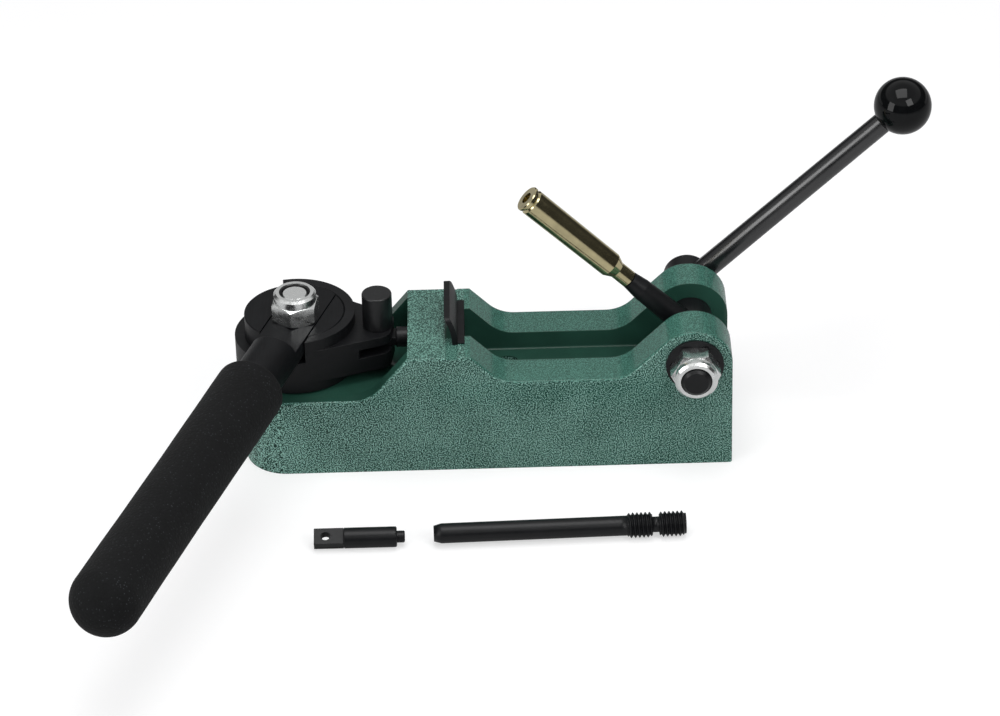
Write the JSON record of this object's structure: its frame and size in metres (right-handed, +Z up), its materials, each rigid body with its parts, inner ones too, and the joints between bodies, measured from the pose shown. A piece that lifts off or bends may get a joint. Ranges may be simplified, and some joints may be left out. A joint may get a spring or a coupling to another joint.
{
  "type": "bench lever press",
  "caption": "Bench-mounted hand press: a side-swinging lever turns a cam that drives a horizontal ram into a brass case held on a tilting support.",
  "frame": {"origin": "middle of the base casting's flat underside, where it meets the bench", "axes": "+X along the base from the cam end to the clevis end, the way the ram pushes; +Y to the back, away from the hand lever at rest; +Z up"},
  "size_m": [0.3685, 0.2683, 0.1541],
  "materials": {
    "green_paint": "hammertone paint over a rough casting",
    "black_oxide": "machined and black-oxidised",
    "zinc": "bright zinc plate",
    "nylon": "moulded nylon",
    "foam": "closed-cell foam with a fine open skin",
    "ball_plastic": "polished phenolic",
    "brass": "drawn and washed cartridge brass"
  },
  "bodies": {
    "base": {"base_casting": "green_paint", "guide_plate": "black_oxide", "guide_plate_screws": "black_oxide", "cam_stud": "zinc", "cam_thrust_washer": "black_oxide", "cam_lock_nut": "zinc", "cam_nut_ring": "nylon"},
    "handle": {"eccentric_cam": "black_oxide", "handle_bar": "black_oxide", "handle_grip": "foam"},
    "strap": {"cam_strap": "black_oxide"},
    "ram": {"press_ram": "black_oxide"},
    "pin": {"fork_pin": "black_oxide"},
    "rocker": {"clevis_shaft": "black_oxide", "clevis_washer": "black_oxide", "clevis_lock_nut": "zinc", "clevis_nut_ring": "nylon", "lever_rod": "black_oxide", "lever_ball": "ball_plastic", "case_support": "black_oxide"},
    "case": {"sample_case": "brass"},
    "loose_ram": {"spare_ram": "black_oxide"},
    "loose_support": {"spare_case_support": "black_oxide"}
  },
  "joints": [
    {"name": "handle_swing", "type": "hinge", "parent": "base", "child": "handle", "pos_m": [-0.0834, 0, 0.052], "axis": [0, 0, -1], "range_deg": [0, 105]},
    {"name": "strap_turn", "type": "hinge", "parent": "handle", "child": "strap", "pos_m": [-0.08433, 0.00461, 0.05], "axis": [0, 0, -1], "range_deg": [-112, 0.5]},
    {"name": "ram_slide", "type": "slide", "parent": "base", "child": "ram", "axis": [1, 0, 0], "range_m": [-0.0001, 0.0069]},
    {"name": "pin_pull", "type": "slide", "parent": "ram", "child": "pin", "axis": [0, 0, 1], "range_m": [0, 0.03]},
    {"name": "rocker_tilt", "type": "hinge", "parent": "base", "child": "rocker", "pos_m": [0.0914, 0, 0.0522], "axis": [0, 1, 0], "range_deg": [-44.2, 43]},
    {"name": "case_off", "type": "slide", "parent": "rocker", "child": "case", "axis": [-0.7169, 0, 0.6972], "range_m": [0, 0.065]},
    {"name": "spare_ram_lift", "type": "slide", "parent": "base", "child": "loose_ram", "axis": [0, 0, 1], "range_m": [0, 0.05]},
    {"name": "spare_support_lift", "type": "slide", "parent": "base", "child": "loose_support", "axis": [0, 0, 1], "range_m": [0, 0.05]}
  ],
  "couplings": [
    {"joint": "strap_turn", "follows": "handle_swing", "ratio": -1.058},
    {"joint": "ram_slide", "follows": "handle_swing", "m_per_rad": 0.00368}
  ]
}
